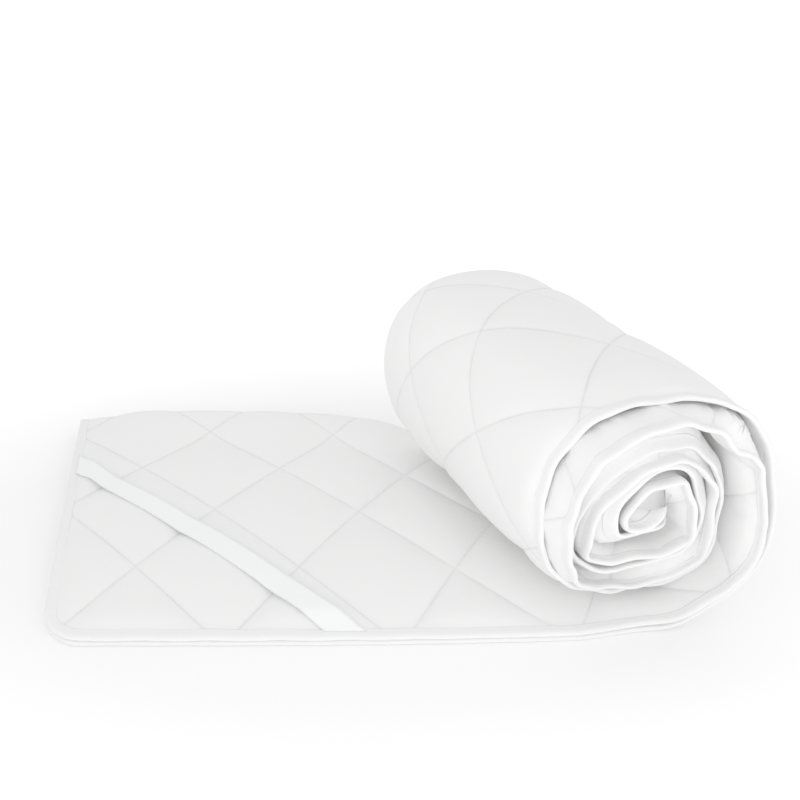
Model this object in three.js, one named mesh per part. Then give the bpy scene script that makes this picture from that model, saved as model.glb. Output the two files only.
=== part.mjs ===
// A quilted mattress protector for a single bed, folded once along its length and then
// rolled up from one end. The last half metre of the strip lies flat on the floor, and
// the roll stands on it. Millimetres, +Z up, the floor at z = 0.
import * as THREE from 'three';
import { mergeVertices } from 'three/addons/utils/BufferGeometryUtils.js';

// The flat pad, as it was cut and quilted
const padLength = 2000;
const padWidth = 800;
const cornerRadius = 32;
const foldLine = padWidth / 2;

// The quilting: two families of diagonal seams. They cross at every other step along the
// pad and across it. A puff stands on each diamond between them.
const quiltAlong = 76;
const quiltAcross = 87;
const quiltShift = 6;
const seamHalf = 1.2;
const puffRolled = 2.6;
const puffOuterTurn = 4.4;
const puffTail = 6.5;
const puffInside = 1.6;
const tailPuffEnds = 150;
const tailPuffRun = 100;
const puffFade = 26;
const foldPuffShare = 0.3;
const foldPuffRun = 100;

// The tape that binds the raw edge, a little apart from the pad
const bindingWidth = 10;
const bindingThickness = 4.6;
const bindingThicknessRolled = 6;
const bindingGap = 0.6;
const clothInset = bindingWidth + bindingGap;
const cornerSteps = 5;

// The flat tail: the width of the folded strip and how far its far side leans
const tailWidth = 420;
const tailLean = -37;
const tailHemTuck = 5;
const tailTurnsAt = -55;

// The roll: where its front end stands, which way it faces, and its length
const rollFootX = 515.7;
const rollFootY = -10.7;
const rollFaceAngle = THREE.MathUtils.degToRad(9.2);
const rollAxisAngle = THREE.MathUtils.degToRad(18.2);
const rollLength = 335;

// The fold: a round bead along the far side, fat on the tail and pressed flat at the hem
// and in the roll
const foldRadiusTail = 11;
const foldRadiusPressed = 5.4;
const foldSpringsAt = 90;
const foldHalfArc = 15;

// How far apart the two plies lie inside their edges, and how much the cloth is pushed
// towards the fold, as a part of the strip's width
const pliesApart = 10.2;
const spreadBow = 0.062;
const spreadBowRolled = 0.095;
const spreadRollsFrom = 860;
const spreadRollsOver = 120;

// How much of its length the outer turn gathers up, and where; how far the inner end lifts
const gathered = 46;
const gathersFrom = 560;
const gathersOver = 340;
const endLift = 8;
const endRun = 50;
const endInset = 40;

// How far the outer turn swells out behind its bound edge, and where it starts and ends
const rollSwell = 3.2;
const swellStart = 120;
const swellRun = 100;
const turnBlend = 150;

// The path of the outer ply along the front edge, a row for each bend. side and height
// are taken across the front of the roll, back is how far the edge is set back from it,
// apart is the distance to the inner ply, and reach is how far that ply sticks out.
const bends = [
  { side: -526, height: 2.4, back: 15, apart: 5, reach: 0 },
  { side: -380, height: 2.4, back: 8, apart: 5, reach: 0 },
  { side: -220, height: 2.4, back: 2, apart: 5, reach: 0 },
  { side: -80, height: 2.4, back: 0, apart: 5, reach: 0 },
  { side: -5, height: 2.6, back: 0, apart: 6, reach: 0 },
  { side: 36, height: 6, back: -4, apart: 8, reach: 2 },
  { side: 68, height: 24, back: -5, apart: 8, reach: 3 },
  { side: 99, height: 48, back: -5, apart: 8, reach: 3 },
  { side: 113, height: 76, back: -5, apart: 11, reach: 4 },
  { side: 116, height: 108, back: -3, apart: 14, reach: 5 },
  { side: 110, height: 145, back: 0, apart: 15, reach: 6 },
  { side: 96, height: 184, back: 0, apart: 20, reach: 10 },
  { side: 67, height: 215, back: 0, apart: 31, reach: 18 },
  { side: 25, height: 229, back: 0, apart: 16, reach: 28 },
  { side: -12, height: 231, back: 0, apart: 9, reach: 32 },
  { side: -50, height: 224, back: 0, apart: 8, reach: 34 },
  { side: -75, height: 206, back: 0, apart: 8, reach: 35 },
  { side: -92, height: 178, back: 2, apart: 8.5, reach: 35 },
  { side: -98, height: 139, back: 6, apart: 10, reach: 33 },
  { side: -92, height: 96, back: 12, apart: 11, reach: 30 },
  { side: -75, height: 60, back: 20, apart: 11, reach: 22 },
  { side: -48, height: 38, back: 26, apart: 10, reach: 14 },
  { side: -20, height: 28, back: 30, apart: 9, reach: 8 },
  { side: 15, height: 25.5, back: 30, apart: 9, reach: 6 },
  { side: 48, height: 33, back: 28, apart: 9, reach: 5 },
  { side: 75, height: 51, back: 24, apart: 9, reach: 5 },
  { side: 79, height: 83, back: 20, apart: 10, reach: 5 },
  { side: 76, height: 117, back: 17, apart: 10, reach: 5 },
  { side: 67, height: 147, back: 13, apart: 10, reach: 6 },
  { side: 47, height: 168, back: 9, apart: 10, reach: 7 },
  { side: 23, height: 185, back: 4, apart: 10, reach: 8 },
  { side: -10, height: 185, back: 0, apart: 8, reach: 10 },
  { side: -42, height: 165, back: 2, apart: 7, reach: 12 },
  { side: -61, height: 136, back: 5, apart: 8, reach: 12 },
  { side: -67, height: 102, back: 8, apart: 9, reach: 12 },
  { side: -58, height: 76, back: 14, apart: 9, reach: 8 },
  { side: -37, height: 62, back: 18, apart: 9.5, reach: 5 },
  { side: -9, height: 60, back: 18, apart: 9.5, reach: 5 },
  { side: 26, height: 68, back: 14, apart: 9.5, reach: 5 },
  { side: 48, height: 84, back: 10, apart: 9, reach: 5 },
  { side: 49, height: 111, back: 6, apart: 9, reach: 6 },
  { side: 38, height: 143, back: 2, apart: 9, reach: 8 },
  { side: 20, height: 165, back: 0, apart: 9, reach: 8 },
  { side: -11, height: 162, back: 0, apart: 8, reach: 8 },
  { side: -25, height: 145, back: 2, apart: 8, reach: 6 },
  { side: -33, height: 122, back: 5, apart: 8, reach: 5 },
  { side: -27, height: 103, back: 8, apart: 7, reach: 5 },
  { side: -8, height: 101, back: 8, apart: 7, reach: 5 },
  { side: 8, height: 105, back: 6, apart: 7, reach: 4 },
  { side: 30, height: 111, back: 4, apart: 7, reach: 4 },
];
const columns = ['side', 'height', 'back', 'apart', 'reach'];
const samplesPerBend = 24;

// The corner strap: a flat elastic from the left hem to the front hem
const strapWidth = 25;
const strapThickness = 1.4;
const strapHemHeight = 251;
const strapHemAlong = 265;
const strapSteps = 26;
const strapLift = 0.8;
const strapInset = 11;
const strapRise = 40;
const strapHemRise = 16;
const strapFan = 0.25;
const strapFanEnds = 0.25;

// Colours and finish
const padWhite = new THREE.MeshStandardMaterial({ color: 0xf2f2f1, roughness: 0.9, metalness: 0 });
const bindingWhite = new THREE.MeshStandardMaterial({ color: 0xf6f6f5, roughness: 0.85, metalness: 0 });
const strapWhite = new THREE.MeshStandardMaterial({ color: 0xf8f9fb, roughness: 0.8, metalness: 0 });

function smooth(x) {
  const c = Math.min(Math.max(x, 0), 1);
  return c * c * (3 - 2 * c);
}

function mix(a, b, x) {
  return a + (b - a) * x;
}

// A smooth curve through the bends, as closely spaced stations with their arc length
function curveThrough(rows) {
  const stations = [];
  let length = 0;
  for (let i = 0; i < rows.length - 1; i += 1) {
    const a = rows[Math.max(i - 1, 0)];
    const b = rows[i];
    const c = rows[i + 1];
    const d = rows[Math.min(i + 2, rows.length - 1)];
    for (let k = 0; k < samplesPerBend; k += 1) {
      const x = k / samplesPerBend;
      const station = {};
      for (const name of columns) {
        const slopeB = (c[name] - a[name]) / 2;
        const slopeC = (d[name] - b[name]) / 2;
        const rise = c[name] - b[name];
        const bow = (3 * rise - 2 * slopeB - slopeC) * x * x;
        station[name] = b[name] + slopeB * x + bow + (slopeB + slopeC - 2 * rise) * x * x * x;
      }
      const last = stations[stations.length - 1];
      if (last) length += Math.hypot(station.side - last.side, station.height - last.height);
      station.length = length;
      stations.push(station);
    }
  }
  return stations;
}

const stations = curveThrough(bends);
const curveLength = stations[stations.length - 1].length;
const stretch = (padLength - gathered) / curveLength;

// The row of the curve at a distance along the pad, run on straight past both its ends
function rowAt(along) {
  const takenUp = gathered * smooth((along - gathersFrom) / gathersOver);
  const target = (along - takenUp) / stretch;
  let low = 0;
  let high = stations.length - 1;
  while (high - low > 1) {
    const middle = Math.floor((low + high) / 2);
    if (stations[middle].length > target) high = middle;
    else low = middle;
  }
  const a = stations[low];
  const b = stations[high];
  const x = (target - a.length) / (b.length - a.length);
  const row = {};
  for (const name of columns) row[name] = mix(a[name], b[name], x);
  return row;
}

// Where the strip leaves the floor, how far inside its edge the tail's lower ply thickens,
// and where the outermost turn of the roll ends
const tailEnd = rollFootX - 5;
const restLift = 2.6;
const restRun = 60;
const outerTurnEnd = 1150;
const backShare = 0.6;
function rollShare(along) {
  return Math.min(Math.max(along / tailEnd, 0), 1);
}

// The direction and the length of the line that runs across the strip to the fold
function rulingAt(along) {
  const share = rollShare(along);
  const rollX = -Math.sin(rollAxisAngle) * rollLength;
  const rollY = Math.cos(rollAxisAngle) * rollLength;
  const x = mix(tailLean, rollX, share ** 3);
  const hemTuck = tailHemTuck * (1 - smooth(along / foldSpringsAt));
  const y = mix(tailWidth - hemTuck, rollY, share ** 4.4);
  return new THREE.Vector3(x, y, 0);
}

function frontPoint(along) {
  const row = rowAt(along);
  const sideways = Math.max(row.side, tailTurnsAt);
  const x = rollFootX + Math.cos(rollFaceAngle) * row.side;
  const y = rollFootY + Math.sin(rollFaceAngle) * sideways;
  const ruling = rulingAt(along).normalize();
  return new THREE.Vector3(x, y, row.height).addScaledVector(ruling, row.back);
}

function swellAt(along) {
  const begun = smooth((along - tailEnd - swellStart) / swellRun);
  return rollSwell * begun * (1 - smooth((along - outerTurnEnd) / turnBlend));
}

// A point halfway through the thickness of the pad, at a place on the flat pad
function middlePoint(along, across) {
  const row = rowAt(along);
  const front = frontPoint(along);
  const ahead = frontPoint(along + 1).sub(frontPoint(along - 1));
  const ruling = rulingAt(along);
  const width = ruling.length() - backShare * row.back;
  const towardFold = ruling.clone().normalize();
  const inward = new THREE.Vector3().crossVectors(ahead, towardFold).normalize();
  const sprung = smooth(along / foldSpringsAt) * (1 - smooth(rollShare(along) * 3 - 2));
  const foldRadius = mix(foldRadiusPressed, foldRadiusTail, sprung);
  const toEdge = Math.min(across, padWidth - across);
  front.z += restLift * smooth(toEdge / restRun) * (1 - smooth((along - tailEnd) / restRun));
  front.z += endLift * smooth((along - padLength + endRun) / endRun) * smooth(toEdge / endInset);
  const fromFold = Math.abs(across - foldLine);
  const inner = across < foldLine;
  if (fromFold < foldHalfArc) {
    front.addScaledVector(inward, -swellAt(along));
    const angle = (Math.PI / 2) * (fromFold / foldHalfArc) * (inner ? 1 : -1);
    front.addScaledVector(towardFold, width - foldRadius + foldRadius * Math.cos(angle));
    return front.addScaledVector(inward, foldRadius * (1 + Math.sin(angle)));
  }
  const share = (foldLine - fromFold) / (foldLine - foldHalfArc);
  const bow = mix(spreadBow, spreadBowRolled, smooth((along - spreadRollsFrom) / spreadRollsOver));
  const spread = share + bow * Math.sin(Math.PI * Math.min(Math.max(share, 0), 1));
  const reach = inner ? row.reach : 0;
  front.addScaledVector(towardFold, mix(-reach, width - foldRadius, spread));
  front.addScaledVector(inward, -swellAt(along) * smooth(share * 7));
  if (inner) {
    const apart = mix(row.apart, pliesApart, smooth(share * 3));
    front.addScaledVector(inward, mix(apart, 2 * foldRadius, smooth(share * 5 - 4)));
  }
  return front;
}

// The same place moved off the middle, outwards when offset is more than 0
function padPoint(along, across, offset) {
  const alongStep = middlePoint(along + 2, across).sub(middlePoint(along - 2, across));
  const acrossStep = middlePoint(along, across + 2).sub(middlePoint(along, across - 2));
  const outward = alongStep.cross(acrossStep).normalize();
  return middlePoint(along, across).addScaledVector(outward, offset);
}

// How full the quilting is: 0 on a seam and at the edge, 1 in the middle of a diamond
function puffAt(along, across) {
  const u = along / quiltAlong;
  const v = (across + quiltShift) / quiltAcross;
  const rising = Math.abs(Math.sin((Math.PI * (u + v)) / 2));
  const falling = Math.abs(Math.sin((Math.PI * (u - v)) / 2));
  const toHem = Math.min(along, padLength - along);
  const toEdge = Math.min(across, padWidth - across);
  const edge = smooth((Math.min(toHem, toEdge) - clothInset) / puffFade);
  const nearFold = 1 - smooth(Math.abs(across - foldLine) / foldPuffRun);
  return edge * (rising * falling) ** 0.6 * (1 - (1 - foldPuffShare) * nearFold);
}

// The puffs stand highest where nothing lies over them: on top of the tail and round the
// outside of the roll
function puffHeight(along, across) {
  if (across < foldLine) return mix(puffTail, puffRolled, smooth((along - tailEnd + tailPuffEnds) / tailPuffRun));
  return mix(puffOuterTurn, puffRolled, smooth((along - outerTurnEnd) / turnBlend));
}

// Pulls a corner of the flat pad in to its rounded outline
function roundedCorner(along, across, radius, inset) {
  const nearAlong = along < padLength / 2 ? inset + radius : padLength - inset - radius;
  const nearAcross = across < padWidth / 2 ? inset + radius : padWidth - inset - radius;
  const a = along - nearAlong;
  const b = across - nearAcross;
  const outside = a * (along < padLength / 2 ? -1 : 1) > 0 && b * (across < padWidth / 2 ? -1 : 1) > 0;
  if (!outside) return [along, across];
  const pull = Math.max(Math.abs(a), Math.abs(b)) / Math.hypot(a, b);
  return [nearAlong + a * pull, nearAcross + b * pull];
}

// The lines of the grid: on the quilting's thirds, and closer around the fold
function alongLines() {
  const lines = [clothInset];
  const fineFrom = 18;
  const fineStep = 0.25;
  const lastLine = padLength - 2 * clothInset;
  for (let i = 1; i < fineFrom * 3; i += 1) lines.push((i * quiltAlong) / 3);
  for (let u = fineFrom; u * quiltAlong < lastLine; u += fineStep) lines.push(u * quiltAlong);
  lines.push(padLength - clothInset);
  return lines;
}

function acrossLines() {
  const lines = [clothInset];
  for (let j = 1; j <= 13; j += 1) lines.push((j * quiltAcross) / 3 - quiltShift);
  for (let k = -2; k <= 2; k += 1) lines.push(foldLine + (k * foldHalfArc) / 2);
  for (let j = 15; j <= 27; j += 1) lines.push((j * quiltAcross) / 3 - quiltShift);
  lines.push(padWidth - clothInset);
  return lines;
}

// Turns the diagonal of each pair of triangles to lie along the seam that crosses it
function turnDiagonals(geometry, seamFalls) {
  const index = geometry.getIndex();
  for (let i = 0; i < index.count; i += 6) {
    const a = index.getX(i);
    const b = index.getX(i + 1);
    const d = index.getX(i + 2);
    const c = index.getX(i + 4);
    if (!seamFalls(a, b, c, d)) continue;
    index.setX(i + 2, c);
    index.setX(i + 3, a);
    index.setX(i + 4, c);
    index.setX(i + 5, d);
  }
}

// The pad: a flat slab with its quilting, each of whose points is then carried to its
// place in the fold and the roll
function quiltedPad() {
  const sList = alongLines();
  const wList = acrossLines();
  const columnsCount = sList.length - 1;
  const rowsCount = wList.length - 1;
  const slab = new THREE.BoxGeometry(columnsCount, rowsCount, 2, columnsCount, rowsCount, 1);
  slab.translate(columnsCount / 2, rowsCount / 2, 0);
  const position = slab.getAttribute('position');
  const flat = [];
  for (let i = 0; i < position.count; i += 1) {
    const along = sList[Math.round(position.getX(i))];
    const across = wList[Math.round(position.getY(i))];
    flat.push([along, across, position.getZ(i)]);
  }
  const seamHeight = (a, b) => {
    const along = (flat[a][0] + flat[b][0]) / 2;
    const across = (flat[a][1] + flat[b][1]) / 2;
    return puffAt(flat[a][0], flat[a][1]) + puffAt(flat[b][0], flat[b][1]) + puffAt(along, across);
  };
  turnDiagonals(slab, (a, b, c, d) => seamHeight(a, c) < seamHeight(b, d));
  flat.forEach(([along, across, face], i) => {
    const puff = puffAt(along, across);
    const onFloor = face > 0 && across > foldLine + foldHalfArc && along < tailEnd;
    const outside = seamHalf + puffHeight(along, across) * puff;
    const offset = face > 0 ? outside : -(seamHalf + puffInside * puff);
    const [s, w] = roundedCorner(along, across, cornerRadius - clothInset, clothInset);
    const point = padPoint(s, w, offset);
    position.setXYZ(i, point.x, point.y, onFloor ? 0 : Math.max(point.z, 0));
  });
  slab.deleteAttribute('normal');
  slab.deleteAttribute('uv');
  return mergeVertices(slab, 1e-3);
}

const model = new THREE.Group();

function addPiece(name, geometry, material) {
  geometry.computeVertexNormals();
  const piece = new THREE.Mesh(geometry, material);
  piece.name = name;
  model.add(piece);
}

// The tape's path around the flat pad, halfway across its width, as a closed round
function bindingRound() {
  const half = bindingWidth / 2;
  const radius = cornerRadius - half;
  const round = [];
  const arc = (along, across, from) => {
    for (let k = 0; k <= cornerSteps; k += 1) {
      const angle = from + ((Math.PI / 2) * k) / cornerSteps;
      round.push([along + radius * Math.cos(angle), across + radius * Math.sin(angle)]);
    }
  };
  const first = cornerRadius + 4;
  const clear = (list, full) => list.filter((x) => x > first && x < full - first);
  const run = clear(alongLines(), padLength);
  const hem = clear(acrossLines(), padWidth);
  for (const along of run) round.push([along, half]);
  arc(padLength - cornerRadius, cornerRadius, -Math.PI / 2);
  for (const across of hem) round.push([padLength - half, across]);
  arc(padLength - cornerRadius, padWidth - cornerRadius, 0);
  for (const along of [...run].reverse()) round.push([along, padWidth - half]);
  arc(cornerRadius, padWidth - cornerRadius, Math.PI / 2);
  for (const across of [...hem].reverse()) round.push([half, across]);
  arc(cornerRadius, cornerRadius, Math.PI);
  return round;
}

// The binding: one tape with rounded sides, all the way round the pad's raw edge. Its
// section is given as parts of its width, outwards, and of its thickness.
function edgeBinding() {
  const round = bindingRound();
  const count = round.length;
  const profile = [
    [-0.5, -0.22],
    [-0.5, 0.22],
    [-0.26, 0.5],
    [0.3, 0.5],
    [0.5, 0.2],
    [0.5, -0.2],
    [0.3, -0.5],
    [-0.26, -0.5],
  ];
  const corners = [];
  const triangles = [];
  round.forEach(([along, across], i) => {
    const before = round[(i + count - 1) % count];
    const after = round[(i + 1) % count];
    const run = Math.hypot(after[0] - before[0], after[1] - before[1]);
    const outAlong = (after[1] - before[1]) / run;
    const outAcross = -(after[0] - before[0]) / run;
    const thickness = mix(bindingThickness, bindingThicknessRolled, smooth((along - tailEnd - restRun) / turnBlend));
    for (const [side, height] of profile) {
      const out = side * bindingWidth;
      const point = padPoint(along + outAlong * out, across + outAcross * out, height * thickness);
      corners.push(point.x, point.y, Math.max(point.z, 0));
    }
  });
  const sides = profile.length;
  for (let i = 0; i < count; i += 1) {
    for (let k = 0; k < sides; k += 1) {
      const a = i * sides + k;
      const b = i * sides + ((k + 1) % sides);
      const c = ((i + 1) % count) * sides + ((k + 1) % sides);
      const d = ((i + 1) % count) * sides + k;
      triangles.push(a, b, c, a, c, d);
    }
  }
  const geometry = new THREE.BufferGeometry();
  geometry.setAttribute('position', new THREE.Float32BufferAttribute(corners, 3));
  geometry.setIndex(triangles);
  return geometry;
}

// The corner strap: a thin flat band that lies over the quilting, from hem to hem
function cornerStrap() {
  const band = new THREE.BoxGeometry(1, 1, 1, strapSteps, 4, 1);
  band.translate(0.5, 0, 0.5);
  const position = band.getAttribute('position');
  const slant = Math.atan2(strapHemHeight, strapHemAlong);
  for (let i = 0; i < position.count; i += 1) {
    const fanned = Math.max(1 - position.getX(i) / strapFanEnds, 0) ** 2;
    const side = position.getY(i) * strapWidth * (1 + strapFan * fanned);
    const hemAlong = strapHemAlong + side / Math.sin(slant);
    const hemHeight = strapHemHeight + side / Math.cos(slant);
    const way = mix(strapInset / hemAlong, 1 - strapInset / hemHeight, position.getX(i));
    const x = way * hemAlong;
    const y = (1 - way) * hemHeight + strapHemRise * fanned;
    const fromHem = Math.min(x, y);
    const bed = mix(bindingThickness / 2, seamHalf + puffTail, smooth(fromHem / strapRise));
    const point = padPoint(x, y, bed + strapLift + strapThickness * position.getZ(i));
    position.setXYZ(i, point.x, point.y, point.z);
  }
  band.deleteAttribute('normal');
  band.deleteAttribute('uv');
  return mergeVertices(band, 1e-3);
}

addPiece('quilted_pad', quiltedPad(), padWhite);
addPiece('edge_binding', edgeBinding(), bindingWhite);
addPiece('corner_strap', cornerStrap(), strapWhite);

// The origin goes to the middle of the floor under the whole piece
const extent = new THREE.Box3().setFromObject(model);
const middle = extent.getCenter(new THREE.Vector3());
for (const piece of model.children) piece.geometry.translate(-middle.x, -middle.y, -extent.min.z);

export default model;
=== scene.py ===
import math

import bmesh
import bpy
import numpy as np
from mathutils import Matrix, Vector


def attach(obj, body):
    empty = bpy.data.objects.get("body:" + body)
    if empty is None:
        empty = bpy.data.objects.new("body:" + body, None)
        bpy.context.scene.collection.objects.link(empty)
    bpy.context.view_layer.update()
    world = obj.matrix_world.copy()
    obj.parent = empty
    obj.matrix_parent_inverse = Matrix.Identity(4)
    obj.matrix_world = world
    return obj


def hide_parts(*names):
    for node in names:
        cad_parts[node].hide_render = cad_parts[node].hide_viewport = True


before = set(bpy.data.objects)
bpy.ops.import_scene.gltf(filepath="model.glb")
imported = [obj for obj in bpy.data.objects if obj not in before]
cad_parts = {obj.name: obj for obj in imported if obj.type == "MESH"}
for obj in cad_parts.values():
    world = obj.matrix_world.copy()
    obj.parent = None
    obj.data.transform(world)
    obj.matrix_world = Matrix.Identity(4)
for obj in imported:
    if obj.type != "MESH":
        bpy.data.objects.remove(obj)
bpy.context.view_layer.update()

# The quilted pad: brushed microfibre over a thin filling, stitched through in diamonds,
# 80 by 200 cm. It is folded in half along its length and the strip is rolled up from one
# end, with half a metre left flat. Sizes are in millimetres until they go into a mesh.
pad_length = 2000
pad_width = 800
corner_radius = 32
fold_line = pad_width / 2
quilt_along = 76
quilt_across = 87
quilt_shift = 6
seam_gap = 1 / math.hypot(1 / quilt_along, 1 / quilt_across) * 2
seam_run = math.hypot(quilt_along, quilt_across)
seam_half = 1.2
puff_tail = 6.5
puff_outer_turn = 4.4
puff_inside = 1.6
puff_fade = 20
puff_fade_rolled = 12
puff_starts = 6
puff_dome_share = 0.5
puff_shoulder = 8
puff_uneven = 0.12
puff_uneven_swell = 140
fold_puff_share = 0.3
fold_puff_run = 100
pad_inset = 3

tail_width = 420
tail_lean = -37
tail_hem_tuck = 5
roll_foot = (515.7, -10.7)
roll_face_angle = math.radians(9.2)
roll_axis_angle = math.radians(18.2)
roll_length = 335
tail_end = roll_foot[0] - 5
rolls_up_over = 200
rest_lift = 2.6
outer_turn_end = 1150
outer_turn_fade = 150
fold_radius_tail = 11
fold_radius_pressed = 5.4
fold_springs_at = 90
fold_half_arc = 15
plies_apart = 10.2
turns_apart = 9
next_turn_after = 150
closes_over = 24
plies_meet_over = 14
bulge_from = 4
bulge_until = 120
bulge_fade = 80
bulge_play = 0.4
flap_from = 1880
flap_over = 80
flap_closing = 16
core_fill = 26
core_from = 1740
core_over = 60
spread_bow = 0.062
spread_bow_rolled = 0.095
bow_grows_from = 860
bow_grows_over = 120
gathered = 46
gathers_from = 560
gathers_over = 340
end_lift = 8
end_lift_over = 50
roll_swell = 3.2
swell_starts = 120
swell_over = 100
crumple = 1.8
crumple_swell = 42
crumple_sway = 60
crumple_edge = 10
crumple_reach = 60
crumple_from = 250
crumple_over = 200

# Where the near left corner of the tail lies in the frame
near_corner = (-296.09, -177.59)

# The path of the outer ply along the front edge, a row for each bend: across the roll's
# front, up from the floor, set back from the front, from ply to ply, and how far the
# inner ply sticks out in front of the outer one
bends = [
    # side, height, back, apart, reach
    (-526, 2.4, 15, 5, 0),
    (-380, 2.4, 8, 5, 0),
    (-220, 2.4, 2, 5, 0),
    (-80, 2.4, 0, 5, 0),
    (-5, 2.6, 0, 6, 0),
    (36, 6, -4, 8, 2),
    (68, 24, -5, 8, 3),
    (99, 48, -5, 8, 3),
    (113, 76, -5, 11, 4),
    (116, 108, -3, 14, 5),
    (110, 145, 0, 15, 6),
    (96, 184, 0, 20, 10),
    (67, 215, 0, 31, 18),
    (25, 229, 0, 16, 28),
    (-12, 231, 0, 9, 32),
    (-50, 224, 0, 8, 34),
    (-75, 206, 0, 8, 35),
    (-92, 178, 2, 8.5, 35),
    (-98, 139, 6, 10, 33),
    (-92, 96, 12, 11, 30),
    (-75, 60, 20, 11, 22),
    (-48, 38, 26, 10, 14),
    (-20, 28, 30, 9, 8),
    (15, 25.5, 30, 9, 6),
    (48, 33, 28, 9, 5),
    (75, 51, 24, 9, 5),
    (79, 83, 20, 10, 5),
    (76, 117, 17, 10, 5),
    (67, 147, 13, 10, 6),
    (47, 168, 9, 10, 7),
    (23, 185, 4, 10, 8),
    (-10, 185, 0, 8, 10),
    (-42, 165, 2, 7, 12),
    (-61, 136, 5, 8, 12),
    (-67, 102, 8, 9, 12),
    (-58, 76, 14, 9, 8),
    (-37, 62, 18, 9.5, 5),
    (-9, 60, 18, 9.5, 5),
    (26, 68, 14, 9.5, 5),
    (48, 84, 10, 9, 5),
    (49, 111, 6, 9, 6),
    (38, 143, 2, 9, 8),
    (20, 165, 0, 9, 8),
    (-11, 162, 0, 8, 8),
    (-25, 145, 2, 8, 6),
    (-33, 122, 5, 8, 5),
    (-27, 103, 8, 7, 5),
    (-8, 101, 8, 7, 5),
    (8, 105, 6, 7, 4),
    (30, 111, 4, 7, 4),
]
samples_per_bend = 24

# Creases pressed into the front edges of the roll: the middle of each on the flat pad,
# its slant in degrees, its length and how far the cloth is pressed in
crease_width = 9
creases = [
    # along, across, slant, length, depth
    (612, 30, 70, 34, 2.0),
    (704, 26, 105, 30, 2.2),
    (792, 22, 60, 36, 2.4),
    (868, 30, 118, 30, 2.6),
    (934, 24, 75, 40, 2.4),
    (1010, 28, 100, 36, 2.2),
    (1092, 22, 64, 30, 2.0),
    (1356, 776, 80, 30, 2.2),
    (1432, 770, 112, 34, 2.6),
    (1508, 774, 66, 30, 2.4),
    (1590, 772, 98, 34, 2.2),
    (1694, 774, 74, 28, 2.4),
    (1768, 24, 104, 28, 2.4),
    (1846, 26, 70, 26, 2.4),
    (1926, 24, 96, 26, 2.6),
    (1968, 60, 30, 30, 3.0),
]


def smooth(x):
    c = np.clip(x, 0, 1)
    return c * c * (3 - 2 * c)


def mix(a, b, x):
    return a + (b - a) * x


def curve_through(rows):
    """A smooth curve through the bends, run on straight past both its ends"""
    table = np.array(rows, float)
    x = np.arange(samples_per_bend)[:, None] / samples_per_bend
    pieces = []
    for i in range(len(table) - 1):
        a, b = table[max(i - 1, 0)], table[i]
        c, d = table[i + 1], table[min(i + 2, len(table) - 1)]
        slope_b, slope_c, rise = (c - a) / 2, (d - b) / 2, c - b
        bow = (3 * rise - 2 * slope_b - slope_c) * x**2
        pieces.append(b + slope_b * x + bow + (slope_b + slope_c - 2 * rise) * x**3)
    stations = np.concatenate(pieces)
    steps = np.hypot(*np.diff(stations[:, :2], axis=0).T)
    reached = np.concatenate([[0], np.cumsum(steps)])
    overrun = 30
    first = stations[0] + (stations[0] - stations[1]) / steps[0] * overrun
    last = stations[-1] + (stations[-1] - stations[-2]) / steps[-1] * overrun
    stations = np.vstack([first, stations, last])
    return stations, np.concatenate([[-overrun], reached, [reached[-1] + overrun]]), reached[-1]


stations, station_length, curve_length = curve_through(bends)
stretch = (pad_length - gathered) / curve_length


def row_at(along):
    """The bend's side, height, back, apart and reach at a distance along the pad"""
    along = np.asarray(along, float)
    taken_up = gathered * smooth((along - gathers_from) / gathers_over)
    target = (along - taken_up) / stretch
    return [np.interp(target, station_length, column) for column in stations.T]


def unit(vectors):
    return vectors / np.linalg.norm(vectors, axis=-1, keepdims=True)


def ruling_at(along):
    """The line that runs across the strip, from its front edge to the fold"""
    share = np.clip(along / tail_end, 0, 1)
    hem_tuck = tail_hem_tuck * (1 - smooth(along / fold_springs_at))
    x = mix(tail_lean, -math.sin(roll_axis_angle) * roll_length, share**3)
    y = mix(tail_width - hem_tuck, math.cos(roll_axis_angle) * roll_length, share**4.4)
    return np.stack([x, y, np.zeros_like(x)], -1)


def front_point(along):
    side, height, back, _, _ = row_at(along)
    x = roll_foot[0] + math.cos(roll_face_angle) * side
    y = roll_foot[1] + math.sin(roll_face_angle) * np.maximum(side, -55)
    return np.stack([x, y, height], -1) + unit(ruling_at(along)) * back[:, None]


def closing_between_turns():
    """Behind their front edges the turns lie close together: how far each place of the
    inner turns moves outwards there, and how far each place's inner ply moves inwards"""
    far_off = 99
    along = np.arange(0, pad_length, 5.0)
    side, height, _, _, _ = row_at(along)
    outer = np.stack([side, height], -1)
    ahead = unit(np.gradient(outer, axis=0))
    inner = outer + np.stack([-ahead[:, 1], ahead[:, 0]], -1) * plies_apart
    gaps = np.linalg.norm(outer[:, None] - inner[None], axis=-1)
    gaps = np.where(along[:, None] - along[None] > next_turn_after, gaps, far_off)
    room = np.clip(gaps - turns_apart, 0, 2 * core_fill) / 2
    closing = np.zeros(len(along))
    for i in np.flatnonzero(along > outer_turn_end + 80):
        outside = room[i].argmin()
        closing[i] = closing[outside] + room[i, outside]
    closing = mix(closing, flap_closing, smooth((along - flap_from) / flap_over))
    filling = np.maximum(room.min(axis=0), core_fill * smooth((along - core_from) / core_over))
    filling = filling * smooth((along - tail_end - 100) / 60)
    window = np.hanning(19) / np.hanning(19).sum()
    evened = [np.convolve(amount, window, mode="same") for amount in (closing, filling)]
    return along, *evened


closing_along, closing, filling = closing_between_turns()


def ply_spacing(along, share, apart, forward):
    """From ply to ply, a share of the way from the front edge to the fold"""
    rolled = smooth((along - tail_end) / rolls_up_over)
    spacing = mix(apart, plies_apart, smooth(share * mix(3, 7, rolled)))
    return spacing + np.interp(along, closing_along, filling) * smooth(forward / closes_over)


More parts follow.
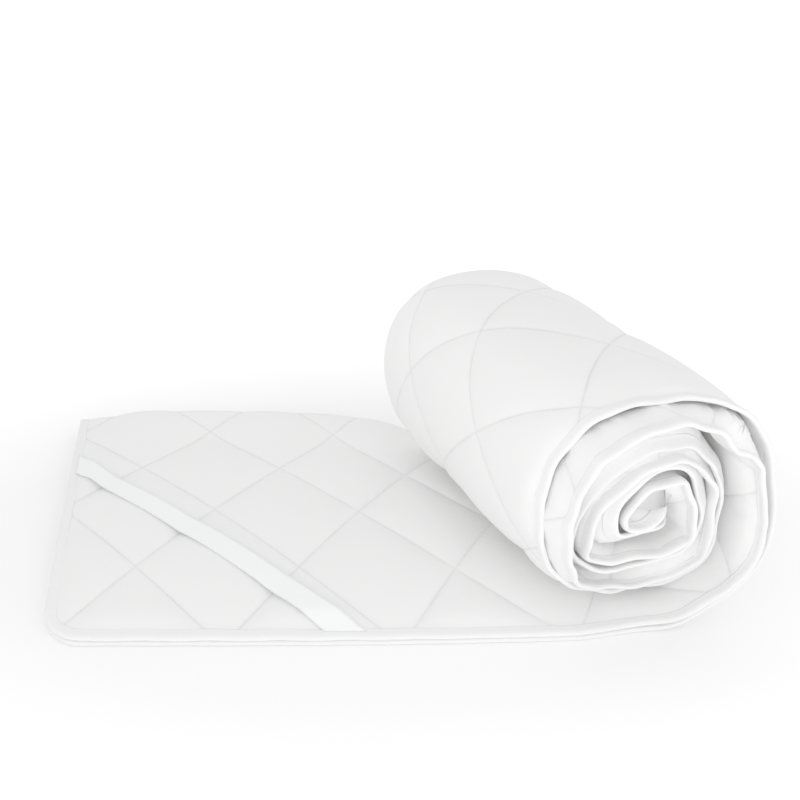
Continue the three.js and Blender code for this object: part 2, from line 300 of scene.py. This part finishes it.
def middle_point(along, across):
    """A point halfway through the thickness of the pad, at a place on the flat pad"""
    _, _, back, apart, reach = row_at(along)
    point = front_point(along)
    ahead = front_point(along + 1) - front_point(along - 1)
    ruling = ruling_at(along)
    width = np.linalg.norm(ruling, axis=-1) - 0.6 * back
    toward_fold = unit(ruling)
    inward = unit(np.cross(ahead, toward_fold))
    sprung = smooth(along / fold_springs_at) * (1 - smooth(np.clip(along / tail_end, 0, 1) * 3 - 2))
    fold_radius = mix(fold_radius_pressed, fold_radius_tail, sprung)
    to_edge = np.minimum(across, pad_width - across)
    point[:, 2] += rest_lift * smooth(to_edge / 60) * (1 - smooth((along - tail_end) / 60))
    lifted = smooth((along - pad_length + end_lift_over) / end_lift_over) * smooth(to_edge / 40)
    point[:, 2] += end_lift * lifted
    from_fold = np.abs(across - fold_line)
    inner = across < fold_line

    turn = (math.pi / 2) * np.clip(from_fold / fold_half_arc, 0, 1) * np.where(inner, 1, -1)
    turn_forward = width - fold_radius + fold_radius * np.cos(turn)
    turn_inward = fold_radius * (1 + np.sin(turn))

    share = (fold_line - from_fold) / (fold_line - fold_half_arc)
    bow = mix(spread_bow, spread_bow_rolled, smooth((along - bow_grows_from) / bow_grows_over))
    spread = share + bow * np.sin(np.pi * np.clip(share, 0, 1))
    ply_forward = mix(np.where(inner, -reach, 0), width - fold_radius, spread)
    ply_apart = ply_spacing(along, share, apart, ply_forward)
    closed = np.interp(along, closing_along, closing)
    behind = smooth(ply_forward / closes_over)
    ply_inward = np.where(inner, mix(ply_apart, 2 * fold_radius, smooth(share * 5 - 4)), 0)

    in_turn = from_fold < fold_half_arc
    forward = np.where(in_turn, turn_forward, ply_forward)
    inset = np.where(in_turn, turn_inward, ply_inward)
    on_roll = smooth((along - tail_end - swell_starts) / swell_over)
    on_roll = on_roll * (1 - smooth((along - outer_turn_end) / outer_turn_fade))
    inset = inset - roll_swell * on_roll * smooth(share * 7)
    inset = inset - closed * behind
    return point + toward_fold * forward[:, None] + inward * inset[:, None]


def waver(x, y, size, seed):
    """Soft unevenness between -1 and 1, with swells of about the given size"""
    rng = np.random.default_rng(seed)
    total = 0
    for _ in range(5):
        heading, phase = rng.uniform(0, 2 * math.pi, 2)
        k = 2 * math.pi / (size * rng.uniform(0.7, 1.5))
        total = total + np.sin(k * (x * math.cos(heading) + y * math.sin(heading)) + phase)
    return total / 3


def creased_in(along, across):
    """How far the creases press a place in"""
    total = 0
    for middle_along, middle_across, slant, length, depth in creases:
        way = math.radians(slant)
        a, b = along - middle_along, across - middle_across
        down_it = (a * math.cos(way) + b * math.sin(way)) / length
        beside_it = (b * math.cos(way) - a * math.sin(way)) / crease_width
        total = total + depth * np.exp(-(down_it**2) - beside_it**2)
    return total


def pad_point(along, across, offset):
    """The same place moved off the middle, outwards where offset is more than 0. The
    front edges of the inner turns are a little crumpled."""
    along_step = middle_point(along + 2, across) - middle_point(along - 2, across)
    across_step = middle_point(along, across + 2) - middle_point(along, across - 2)
    outward = unit(np.cross(along_step, across_step))
    to_edge = np.minimum(across, pad_width - across)
    crumpled = 1 - smooth((to_edge - crumple_edge) / crumple_reach)
    crumpled = crumpled * smooth((along - tail_end - crumple_from) / crumple_over)
    in_and_out = crumple * crumpled * waver(along, across, crumple_swell, 7) - creased_in(along, across)
    back_and_forth = crumple * crumpled * waver(along, across, crumple_sway, 8)
    point = middle_point(along, across) + outward * (offset + in_and_out)[..., None]
    return point + unit(ruling_at(along)) * back_and_forth[..., None]


def seam_distances(along, across):
    """How far a place lies from the nearest rising seam and the nearest falling one"""
    u = along / quilt_along
    v = (across + quilt_shift) / quilt_across
    rising = (u + v) / 2
    falling = (u - v) / 2
    return [np.abs(seam - np.round(seam)) * seam_gap for seam in (rising, falling)]


def fullness(along, across):
    """How full the quilting is: 0 on a seam and at the edge, 1 inside a diamond"""
    rising, falling = seam_distances(along, across)
    puff = 1
    for distance in (rising, falling):
        shoulder = 1 - np.exp(-distance / puff_shoulder)
        dome = np.sin(np.pi * distance / seam_gap)
        puff = puff * mix(shoulder, dome, puff_dome_share)
    to_end = np.minimum(along, pad_length - along)
    to_edge = np.minimum(to_end, np.minimum(across, pad_width - across))
    near_fold = 1 - smooth(np.abs(across - fold_line) / fold_puff_run)
    fade = mix(puff_fade, puff_fade_rolled, smooth((along - tail_end) / rolls_up_over))
    return puff * smooth((to_edge - puff_starts) / fade) * (1 - (1 - fold_puff_share) * near_fold)


def puff_height(along, across):
    """The puffs stand highest where nothing lies over them, and fill out between turns"""
    between = turns_apart / 2 - seam_half - 0.1
    top = mix(puff_tail, between, smooth((along - tail_end + 150) / 100))
    outside = mix(puff_outer_turn, between, smooth((along - outer_turn_end) / outer_turn_fade))
    return np.where(across < fold_line, top, outside)


def inside_height(along, across, full):
    """The faces between the two plies are hardly raised in the tail. In the roll the inner
    ply bulges out close behind its front edge, until it meets the outer one."""
    _, _, _, apart, reach = row_at(along)
    share = np.minimum(across, pad_width - across) / fold_line
    behind_edge = share * roll_length
    spacing = ply_spacing(along, share, apart, behind_edge - reach)
    bulge = np.maximum(spacing - 2 * seam_half - bulge_play - (1 - full), seam_half)
    rise = smooth((behind_edge - bulge_from) / np.maximum(reach, plies_meet_over))
    rolled = smooth((along - tail_end) / 100) * np.where(across < fold_line, rise, 0)
    rolled = rolled * (1 - smooth((behind_edge - bulge_until) / bulge_fade))
    return mix(seam_half + puff_inside * full, bulge, rolled)


def rounded_corner(along, across, radius, inset):
    """Pulls a corner of the flat pad in to its rounded outline"""
    low = along < pad_length / 2
    near = across < pad_width / 2
    centre_along = np.where(low, inset + radius, pad_length - inset - radius)
    centre_across = np.where(near, inset + radius, pad_width - inset - radius)
    a, b = along - centre_along, across - centre_across
    outside = (a * np.where(low, -1, 1) > 0) & (b * np.where(near, -1, 1) > 0)
    reach = np.maximum(np.abs(a), np.abs(b)) / np.maximum(np.hypot(a, b), 1e-9)
    pull = np.where(outside, reach, 1)
    return centre_along + a * pull, centre_across + b * pull


def seam_lines(first, last):
    """Places of the grid's lines in seam steps, close together beside each seam"""
    beside = [0, 1.0, 2.6, 5.4, 10, 17, 26, 37, 47.5]
    half = [x / seam_gap for x in beside]
    period = half + [0.5] + [1 - x for x in half[:0:-1]]
    return np.array([k + x for k in range(first, last) for x in period] + [last])


def to_frame(points):
    """From millimetres at the near left corner to metres in the frame"""
    return (points + np.array([*near_corner, 0])) / 1000


def move_points(mesh, place):
    """Carries every point of a flat mesh to place(x, y, z)"""
    flat = np.empty(len(mesh.vertices) * 3)
    mesh.vertices.foreach_get("co", flat)
    flat = flat.reshape(-1, 3)
    mesh.vertices.foreach_set("co", place(*flat.T).ravel())
    mesh.polygons.foreach_set("use_smooth", [True] * len(mesh.polygons))
    mesh.update()


def new_piece(name, bm):
    mesh = bpy.data.meshes.new(name)
    bm.to_mesh(mesh)
    bm.free()
    piece = bpy.data.objects.new(name, mesh)
    bpy.context.scene.collection.objects.link(piece)
    return piece


def lay_uv(bm):
    """The flat place of each point, in metres, as the piece's UV map"""
    uv = bm.loops.layers.uv.new("cloth")
    for face in bm.faces:
        for loop in face.loops:
            loop[uv].uv = (loop.vert.co.x / 1000, loop.vert.co.y / 1000)


def flat_pad():
    """The pad as it was cut: a slab whose faces run along the seams, both sides of it"""
    rising = seam_lines(0, 18)
    falling = seam_lines(-5, 14)
    bm = bmesh.new()
    bmesh.ops.create_grid(bm, x_segments=len(rising) - 1, y_segments=len(falling) - 1, size=1)
    for vert in bm.verts:
        r = rising[round((vert.co.x + 1) / 2 * (len(rising) - 1))]
        f = falling[round((vert.co.y + 1) / 2 * (len(falling) - 1))]
        vert.co = ((r + f) * quilt_along, (r - f) * quilt_across - quilt_shift, 0)
    rim = 20
    spare = []
    for vert in bm.verts:
        x, y, _ = vert.co
        if not (-rim < x < pad_length + rim and -rim < y < pad_width + rim):
            spare.append(vert)
    bmesh.ops.delete(bm, geom=spare, context="VERTS")

    def cut(co, no, trim=False):
        geom = bm.verts[:] + bm.edges[:] + bm.faces[:]
        bmesh.ops.bisect_plane(bm, geom=geom, dist=1e-4, plane_co=co, plane_no=no, clear_outer=trim)

    cut((pad_inset, 0, 0), (-1, 0, 0), trim=True)
    cut((pad_length - pad_inset, 0, 0), (1, 0, 0), trim=True)
    cut((0, pad_inset, 0), (0, -1, 0), trim=True)
    cut((0, pad_width - pad_inset, 0), (0, 1, 0), trim=True)
    for k in range(-5, 6):
        cut((0, fold_line + k * fold_half_arc / 4, 0), (0, 1, 0))
    for inset in (9, 13, 19):
        cut((inset, 0, 0), (1, 0, 0))
        cut((pad_length - inset, 0, 0), (1, 0, 0))
        cut((0, inset, 0), (0, 1, 0))
        cut((0, pad_width - inset, 0), (0, 1, 0))
    lay_uv(bm)
    for vert in bm.verts:
        vert.co.z = -1
    top = bmesh.ops.extrude_face_region(bm, geom=bm.faces[:])["geom"]
    for item in top:
        if isinstance(item, bmesh.types.BMVert):
            item.co.z = 1
    bmesh.ops.recalc_face_normals(bm, faces=bm.faces[:])
    return bm


def place_pad(along, across, face):
    full = fullness(along, across)
    uneven = 1 + puff_uneven * waver(along, across, puff_uneven_swell, 3)
    on_floor = (face > 0) & (across > fold_line + fold_half_arc) & (along < tail_end)
    outside = seam_half + puff_height(along, across) * full * uneven
    inside = inside_height(along, across, full)
    offset = np.where(face > 0, outside, -inside)
    s, w = rounded_corner(along, across, corner_radius - pad_inset, pad_inset)
    point = pad_point(s, w, offset)
    point[:, 2] = np.where(on_floor, 1.2 * (1 - full), np.maximum(point[:, 2], 0))
    return to_frame(point)


def node_math(tree, operation, a, b=None):
    node = tree.nodes.new("ShaderNodeMath")
    node.operation = operation
    for socket, value in zip(node.inputs, (a, b)):
        if isinstance(value, bpy.types.NodeSocket):
            tree.links.new(value, socket)
        elif value is not None:
            socket.default_value = value
    return node.outputs[0]


def cloth_material(name, colour, roughness, sheen):
    """A matt cloth finish; returns its tree, its shader and its flat place in millimetres"""
    material = bpy.data.materials.new(name)
    material.use_nodes = True
    tree = material.node_tree
    shader = tree.nodes["Principled BSDF"]
    shader.inputs["Base Color"].default_value = (*colour, 1)
    shader.inputs["Roughness"].default_value = roughness
    shader.inputs["Sheen Weight"].default_value = sheen
    shader.inputs["Sheen Roughness"].default_value = 0.5
    shader.inputs["Specular IOR Level"].default_value = 0.25
    uv = tree.nodes.new("ShaderNodeUVMap")
    uv.uv_map = "cloth"
    apart = tree.nodes.new("ShaderNodeSeparateXYZ")
    tree.links.new(uv.outputs["UV"], apart.inputs[0])
    x = node_math(tree, "MULTIPLY", apart.outputs[0], 1000)
    y = node_math(tree, "MULTIPLY", apart.outputs[1], 1000)
    return material, tree, shader, uv.outputs["UV"], x, y


def noise_on(tree, vector, scale, detail=3):
    node = tree.nodes.new("ShaderNodeTexNoise")
    node.inputs["Scale"].default_value = scale
    node.inputs["Detail"].default_value = detail
    tree.links.new(vector, node.inputs["Vector"])
    return node.outputs["Fac"]


def add_bump(tree, shader, heights):
    """Raises the surface by a sum of heights, each (socket, millimetres)"""
    total = None
    for height, size in heights:
        part = node_math(tree, "MULTIPLY", height, size / 1000)
        total = part if total is None else node_math(tree, "ADD", total, part)
    bump = tree.nodes.new("ShaderNodeBump")
    bump.inputs["Strength"].default_value = 1
    bump.inputs["Distance"].default_value = 1
    tree.links.new(total, bump.inputs["Height"])
    tree.links.new(bump.outputs["Normal"], shader.inputs["Normal"])


def tint_between(tree, shader, factor, dark, light):
    """Colours the cloth from dark, where factor is 0, to light, where it is 1"""
    node = tree.nodes.new("ShaderNodeMix")
    node.data_type = "RGBA"
    node.inputs["A"].default_value = (*dark, 1)
    node.inputs["B"].default_value = (*light, 1)
    tree.links.new(factor, node.inputs["Factor"])
    tree.links.new(node.outputs["Result"], shader.inputs["Base Color"])


def microfibre():
    """Fine brushed cloth with a row of stitches along every seam, drawn in beside it, and painted shade
    darkening the cloth along each seam's crease
    """
    colour = (0.86, 0.86, 0.857)
    # Painted shade: the darker grey the cloth is coloured along each seam's crease
    painted_seam_shade_colour = (0.74, 0.74, 0.74)
    material, tree, shader, flat, x, y = cloth_material("brushed_microfibre", colour, 0.88, 0.2)
    u = node_math(tree, "DIVIDE", x, quilt_along)
    v = node_math(tree, "DIVIDE", node_math(tree, "ADD", y, quilt_shift), quilt_across)
    rising = node_math(tree, "MULTIPLY", node_math(tree, "ADD", u, v), 0.5)
    falling = node_math(tree, "MULTIPLY", node_math(tree, "SUBTRACT", u, v), 0.5)
    stitch_pitch = 3.4
    thread_half = 0.35
    seam_shade_half = 1.0
    seam_shade_strength = 1.8
    pucker_run = 6
    pucker_pitch = 9
    stitched = None
    drawn = None
    painted_seam_shade = None
    for line, run in ((rising, falling), (falling, rising)):
        off = node_math(tree, "PINGPONG", line, 0.5)
        distance = node_math(tree, "MULTIPLY", off, seam_gap)
        step = node_math(tree, "FRACT", node_math(tree, "MULTIPLY", run, seam_run / stitch_pitch))
        on = node_math(tree, "LESS_THAN", step, 0.7)
        thread = node_math(tree, "MULTIPLY", on, node_math(tree, "LESS_THAN", distance, thread_half))
        fade = node_math(tree, "POWER", 2.718, node_math(tree, "MULTIPLY", distance, -1 / pucker_run))
        turning = 2 * math.pi * seam_run / pucker_pitch
        wave = node_math(tree, "SINE", node_math(tree, "MULTIPLY", run, turning))
        pucker = node_math(tree, "MULTIPLY", fade, wave)
        # Painted shade: darkness falling off from each seam line within a millimetre or so
        shade = node_math(tree, "POWER", 2.718, node_math(tree, "MULTIPLY", distance, -1 / seam_shade_half))
        painted_seam_shade = shade if painted_seam_shade is None else node_math(tree, "MAXIMUM", painted_seam_shade, shade)
        stitched = thread if stitched is None else node_math(tree, "MAXIMUM", stitched, thread)
        drawn = pucker if drawn is None else node_math(tree, "ADD", drawn, pucker)
    weave = noise_on(tree, flat, 1400, 2)
    nap = noise_on(tree, flat, 180, 4)
    soft = noise_on(tree, flat, 30, 2)
    drawn = node_math(tree, "MULTIPLY", drawn, soft)
    painted_seam_shade = node_math(tree, "MULTIPLY", painted_seam_shade, node_math(tree, "MULTIPLY", soft, seam_shade_strength))
    woven = [(weave, 0.05), (nap, 0.08), (soft, 0.5)]
    add_bump(tree, shader, woven + [(drawn, 0.16), (stitched, 0.15)])
    # Painted shade: the cloth's colour turns to the darker grey along the seam creases, patchy with the
    # soft noise
    tint_between(tree, shader, painted_seam_shade, colour, painted_seam_shade_colour)
    return material


quilted = new_piece("quilted_cloth", flat_pad())
move_points(quilted.data, place_pad)
quilted.data.materials.append(microfibre())
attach(quilted, "root")
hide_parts("quilted_pad")


# The binding: a soft woven tape, folded over the pad's raw edge all the way round and
# stitched through near its inner edge, with a rounded corner at each corner of the pad.
tape_half = 5
tape_rolled = 1.03
tape_thickness = 0.7
tape_step = 4
tape_section_step = 1.35
tape_waver = 0.35
tape_pucker = 0.08


def binding_path():
    """Places round the flat pad, halfway across the tape, with the way out at each"""
    radius = corner_radius - tape_half
    far_along, far_across = pad_length - corner_radius, pad_width - corner_radius
    run_along = np.linspace(corner_radius, far_along, round((far_along - corner_radius) / tape_step))
    run_across = np.linspace(corner_radius, far_across, 260)
    sides = [
        (run_along, 0 * run_along + tape_half, -90),
        (0 * run_across + pad_length - tape_half, run_across, 0),
        (run_along[::-1], 0 * run_along + pad_width - tape_half, 90),
        (0 * run_across + tape_half, run_across[::-1], 180),
    ]
    corners = [
        (far_along, corner_radius, -90),
        (far_along, far_across, 0),
        (corner_radius, far_across, 90),
        (corner_radius, corner_radius, 180),
    ]
    path = []
    for (along, across, heading), (centre_along, centre_across, start) in zip(sides, corners):
        way = np.full(len(along), math.radians(heading))
        path.append(np.stack([along, across, way], -1))
        turn = np.radians(np.linspace(start, start + 90, 11)[1:-1])
        bend = [centre_along + radius * np.cos(turn), centre_across + radius * np.sin(turn), turn]
        path.append(np.stack(bend, -1))
    return np.concatenate(path)


def tape_profile():
    """The tape's section, from its lip on one face round the edge to the other face"""
    lip = [(-5.2, 1.8), (-4.6, 2.1), (-3.4, 2.15), (-2.6, 2.0), (-1.8, 2.2)]
    edge = [(-0.4, 2.3), (1.4, 2.3), (3.0, 2.1), (4.2, 1.4), (4.8, 0.5)]
    half = lip + edge
    return np.array(half + [(out, -height) for out, height in reversed(half)])


def binding():
    path = binding_path()
    profile = tape_profile()
    count, sides = len(path), len(profile)
    bm = bmesh.new()
    bmesh.ops.create_grid(bm, x_segments=count, y_segments=sides - 1, size=1)
    for vert in bm.verts:
        vert.co.x = round((vert.co.x + 1) / 2 * count)
        vert.co.y = round((vert.co.y + 1) / 2 * (sides - 1))
    uv = bm.loops.layers.uv.new("cloth")
    for face in bm.faces:
        for loop in face.loops:
            loop[uv].uv = (loop.vert.co.x * tape_step / 1000, loop.vert.co.y * tape_section_step / 1000)

    def place(station, side, _):
        i = np.round(station).astype(int) % count
        along, across, way = path[i].T
        out, height = profile[np.round(side).astype(int)].T
        out = out + tape_waver * waver(along, across, 37, 11)
        rolled = smooth((along - tail_end - 60) / 150)
        height = height * mix(1, tape_rolled, rolled) * (1 + tape_pucker * waver(along, across, 11, 12))
        point = pad_point(along + np.cos(way) * out, across + np.sin(way) * out, height)
        point[:, 2] = np.maximum(point[:, 2], 0.05)
        return to_frame(point)

    piece = new_piece("edge_tape", bm)
    move_points(piece.data, place)
    bm = bmesh.new()
    bm.from_mesh(piece.data)
    bmesh.ops.remove_doubles(bm, verts=bm.verts[:], dist=1e-6)
    bmesh.ops.recalc_face_normals(bm, faces=bm.faces[:])
    bm.to_mesh(piece.data)
    bm.free()
    wall = piece.modifiers.new("tape", "SOLIDIFY")
    wall.thickness = tape_thickness / 1000
    wall.offset = -1
    return piece


def woven_tape():
    """Close ribs across the tape, with a fine nap that also varies its tone a little"""
    colour = (0.88, 0.88, 0.88)
    material, tree, shader, flat, x, y = cloth_material("binding_weave", colour, 0.85, 0.15)
    rib = node_math(tree, "SINE", node_math(tree, "MULTIPLY", x, 2 * math.pi / 0.9))
    nap = noise_on(tree, flat, 420, 3)
    soft = noise_on(tree, flat, 60, 2)
    add_bump(tree, shader, [(rib, 0.03), (nap, 0.12), (soft, 0.4)])
    tint_between(tree, shader, nap, (0.86, 0.86, 0.86), colour)
    return material


tape = binding()
tape.data.materials.append(woven_tape())
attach(tape, "root")
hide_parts("edge_binding")


# The corner strap: flat ribbed elastic that holds the pad on a mattress. It is sewn under
# the binding at the left hem and at the front hem, and lies over the quilting between.
strap_width = 25
strap_thickness = 1.1
strap_hem_height = 251
strap_hem_along = 265
strap_tuck = 7
strap_lift = 1
strap_rise = 22
strap_hem_rise = 16
strap_sag = 3
strap_fan = 0.25
strap_fan_ends = 0.25
strap_hem_bed = 2.2
strap_under_tape = 5
strap_bridges = 8


def corner_strap():
    steps, sides = 96, 8
    bm = bmesh.new()
    bmesh.ops.create_grid(bm, x_segments=steps, y_segments=sides, size=0.5)
    slant = math.atan2(strap_hem_height, strap_hem_along)
    run = math.hypot(strap_hem_height, strap_hem_along)
    uv = bm.loops.layers.uv.new("cloth")
    for face in bm.faces:
        for loop in face.loops:
            loop[uv].uv = (loop.vert.co.x * run / 1000, loop.vert.co.y * strap_width / 1000)

    def place(way, side, _):
        fanned = np.maximum(1 - (way + 0.5) / strap_fan_ends, 0) ** 2
        side = side * strap_width * (1 + strap_fan * fanned)
        hem_along = strap_hem_along + side / math.sin(slant)
        hem_height = strap_hem_height + side / math.cos(slant)
        way = mix(strap_tuck / hem_along, 1 - strap_tuck / hem_height, way + 0.5)
        along, across = way * hem_along, (1 - way) * hem_height + strap_hem_rise * fanned
        from_hem = np.minimum(along, across)
        reach = np.linspace(-strap_bridges, strap_bridges, 9)
        under = [fullness(along + x * math.cos(slant), across - x * math.sin(slant)) for x in reach]
        sag = strap_sag * (1 - np.mean(under, axis=0)) * smooth(from_hem / strap_rise - 1)
        risen = smooth((from_hem - strap_under_tape) / strap_rise)
        bed = mix(strap_hem_bed, seam_half + puff_tail + strap_lift, risen)
        return to_frame(pad_point(along, across, bed - sag))

    piece = new_piece("elastic_strap", bm)
    move_points(piece.data, place)
    wall = piece.modifiers.new("elastic", "SOLIDIFY")
    wall.thickness = strap_thickness / 1000
    wall.offset = 1
    return piece


def ribbed_elastic():
    """Ribs run the length of the strap, crossed by the fine rows of its weave"""
    colour = (0.93, 0.934, 0.945)
    material, tree, shader, flat, x, y = cloth_material("ribbed_elastic", colour, 0.7, 0.1)
    rib = node_math(tree, "SINE", node_math(tree, "MULTIPLY", y, 2 * math.pi / 2.4))
    row = node_math(tree, "SINE", node_math(tree, "MULTIPLY", x, 2 * math.pi / 1.1))
    add_bump(tree, shader, [(rib, 0.03), (row, 0.02), (noise_on(tree, flat, 300, 2), 0.05)])
    return material


strap = corner_strap()
strap.data.materials.append(ribbed_elastic())
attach(strap, "root")
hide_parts("corner_strap")


# The setting: a plain white floor, soft white light from all round and a broad soft light
# from the front, and the camera where the photograph was taken.
def floor():
    bm = bmesh.new()
    bmesh.ops.create_grid(bm, x_segments=1, y_segments=1, size=15)
    piece = new_piece("floor", bm)
    material = bpy.data.materials.new("white_floor")
    material.use_nodes = True
    shader = material.node_tree.nodes["Principled BSDF"]
    shader.inputs["Base Color"].default_value = (0.96, 0.96, 0.96, 1)
    shader.inputs["Roughness"].default_value = 0.9
    shader.inputs["Specular IOR Level"].default_value = 0
    shader.inputs["Emission Color"].default_value = (1, 1, 1, 1)
    tree = material.node_tree
    place = tree.nodes.new("ShaderNodeTexCoord")
    flat = tree.nodes.new("ShaderNodeMapping")
    flat.inputs["Scale"].default_value = (1 / 0.42, 1 / 0.3, 0)
    away = tree.nodes.new("ShaderNodeVectorMath")
    away.operation = "LENGTH"
    tree.links.new(place.outputs["Object"], flat.inputs["Vector"])
    tree.links.new(flat.outputs["Vector"], away.inputs[0])
    # Painted light: the floor glows, faintly beside the pad and more strongly further off, so it reads
    # pure white and also lights the pad from below
    glow = tree.nodes.new("ShaderNodeMapRange")
    glow.inputs["From Min"].default_value = 0.9
    glow.inputs["From Max"].default_value = 1.8
    glow.inputs["To Min"].default_value = 0.06
    glow.inputs["To Max"].default_value = 0.3
    tree.links.new(away.outputs["Value"], glow.inputs["Value"])
    tree.links.new(glow.outputs["Result"], shader.inputs["Emission Strength"])
    piece.data.materials.append(material)
    return piece


floor()


def soft_light(name, place, target, size, power):
    lamp = bpy.data.lights.new(name, "AREA")
    lamp.shape = "RECTANGLE"
    lamp.size, lamp.size_y = size
    lamp.energy = power
    obj = bpy.data.objects.new(name, lamp)
    obj.location = place
    aim = Vector(target) - Vector(place)
    obj.rotation_euler = aim.to_track_quat("-Z", "Y").to_euler()
    bpy.context.scene.collection.objects.link(obj)


soft_light("front_softbox", (0.1, -1.3, 0.45), (0, 0, 0.05), (1.4, 0.5), 4.2)

world = bpy.data.worlds.new("studio")
world.use_nodes = True
world.node_tree.nodes["Background"].inputs["Color"].default_value = (1, 1, 1, 1)
world.node_tree.nodes["Background"].inputs["Strength"].default_value = 0.83
bpy.context.scene.world = world
bpy.context.scene.view_settings.view_transform = "Standard"
bpy.context.scene.view_settings.gamma = 1.45

camera_place = (210.3, -743.6, 580)
camera_turn = math.radians(6.48)
camera_pitch = math.radians(25.16)
camera_roll = math.radians(2.37)
camera = bpy.data.cameras.new("camera")
camera.lens = 47
camera.sensor_width = 36
camera.clip_start = 0.02
eye = bpy.data.objects.new("camera", camera)
bpy.context.scene.collection.objects.link(eye)
ahead = Vector((math.sin(camera_turn), math.cos(camera_turn), 0))
sideways = Vector((math.cos(camera_turn), -math.sin(camera_turn), 0))
look = ahead * math.cos(camera_pitch) - Vector((0, 0, 1)) * math.sin(camera_pitch)
upright = sideways.cross(look)
right = sideways * math.cos(camera_roll) + upright * math.sin(camera_roll)
up = right.cross(look)
eye.location = Vector(to_frame(np.array([camera_place]))[0])
turn = eye.matrix_world.to_3x3()
turn.col[0], turn.col[1], turn.col[2] = right, up, -look
eye.rotation_euler = turn.to_euler()
bpy.context.scene.camera = eye
